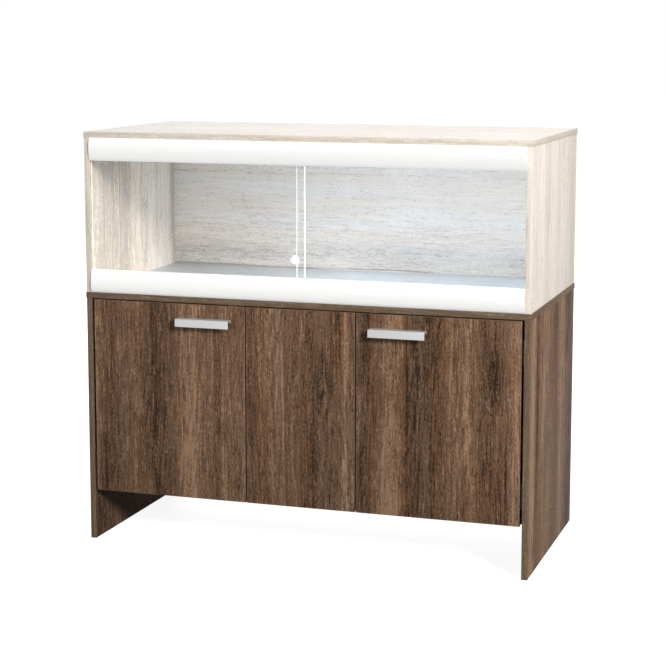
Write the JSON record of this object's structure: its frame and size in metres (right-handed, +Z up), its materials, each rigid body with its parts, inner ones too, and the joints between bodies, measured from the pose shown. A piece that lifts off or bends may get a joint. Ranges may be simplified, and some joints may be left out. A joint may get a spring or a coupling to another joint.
{
  "type": "terrarium cabinet",
  "caption": "Low glass-fronted vivarium with sliding panes on a walnut-look cupboard with hinged doors and bar handles.",
  "frame": {"origin": "on the floor, under the middle of the outline (handles included)", "axes": "+X to the viewer's right along the width, +Y to the back, +Z up"},
  "size_m": [1.154, 0.574, 1.053],
  "materials": {
    "walnut_laminate": "walnut-look melamine board, satin",
    "oak_laminate": "pale grey-oak-look melamine board, satin",
    "grey_laminate": "pale grey melamine board, satin",
    "hardboard": "thin printed hardboard",
    "beech": "raw fluted beech",
    "satin_aluminium": "satin anodised",
    "bronze_steel": "dark bronze, satin",
    "zinc_steel": "bright zinc plate",
    "white_plastic": "white, satin",
    "grey_plastic": "light grey, matte",
    "clear_glass": "clear float glass, polished edges",
    "light_diffuser": "opal diffuser, lit",
    "led_board": "white circuit board"
  },
  "bodies": {
    "carcass": {"cabinet_top_panel": "walnut_laminate", "cabinet_left_side": "walnut_laminate", "cabinet_right_side": "walnut_laminate", "cabinet_base_panel": "walnut_laminate", "cabinet_back_panel": "hardboard", "cabinet_centre_divider": "walnut_laminate", "cabinet_centre_panel": "walnut_laminate", "upper_left_hinge_side_leaf": "bronze_steel", "upper_left_hinge_pin": "bronze_steel", "lower_left_hinge_side_leaf": "bronze_steel", "lower_left_hinge_pin": "bronze_steel", "upper_right_hinge_side_leaf": "bronze_steel", "upper_right_hinge_pin": "bronze_steel", "lower_right_hinge_side_leaf": "bronze_steel", "lower_right_hinge_pin": "bronze_steel", "left_catch": "white_plastic", "right_catch": "white_plastic", "cabinet_screws": "zinc_steel", "cabinet_dowels": "beech", "cabinet_cams": "zinc_steel", "cabinet_cam_bolts": "zinc_steel", "vivarium_top_panel": "oak_laminate", "vivarium_left_side": "oak_laminate", "vivarium_right_side": "oak_laminate", "vivarium_floor_panel": "grey_laminate", "vivarium_back_panel": "oak_laminate", "cable_grommet": "white_plastic", "top_fascia": "white_plastic", "bottom_fascia": "white_plastic", "fascia_blocks": "grey_plastic", "light_bar_housing": "satin_aluminium", "light_bar_diffuser": "light_diffuser", "light_bar_end_caps": "white_plastic", "light_bar_led_board": "led_board", "light_bar_clips": "zinc_steel", "vivarium_screws": "zinc_steel", "vivarium_dowels": "beech", "vivarium_cams": "zinc_steel", "vivarium_cam_bolts": "zinc_steel"},
    "left_door": {"left_door": "walnut_laminate", "left_handle": "satin_aluminium", "left_handle_screws": "zinc_steel", "upper_left_hinge_door_leaf": "bronze_steel", "lower_left_hinge_door_leaf": "bronze_steel", "left_strike_plate": "zinc_steel", "left_door_screws": "zinc_steel"},
    "right_door": {"right_door": "walnut_laminate", "right_handle": "satin_aluminium", "right_handle_screws": "zinc_steel", "upper_right_hinge_door_leaf": "bronze_steel", "lower_right_hinge_door_leaf": "bronze_steel", "right_strike_plate": "zinc_steel", "right_door_screws": "zinc_steel"},
    "left_glass": {"left_glass": "clear_glass"},
    "right_glass": {"right_glass": "clear_glass"}
  },
  "joints": [
    {"name": "left_door_hinge", "type": "hinge", "parent": "carcass", "child": "left_door", "pos_m": [-0.557, -0.261, 0.3785], "axis": [0, 0, -1], "range_deg": [0, 105]},
    {"name": "right_door_hinge", "type": "hinge", "parent": "carcass", "child": "right_door", "pos_m": [0.557, -0.261, 0.3785], "axis": [0, 0, 1], "range_deg": [0, 105]},
    {"name": "left_glass_slide", "type": "slide", "parent": "carcass", "child": "left_glass", "axis": [1, 0, 0], "range_m": [0, 0.547]},
    {"name": "right_glass_slide", "type": "slide", "parent": "carcass", "child": "right_glass", "axis": [-1, 0, 0], "range_m": [0, 0.547]}
  ]
}
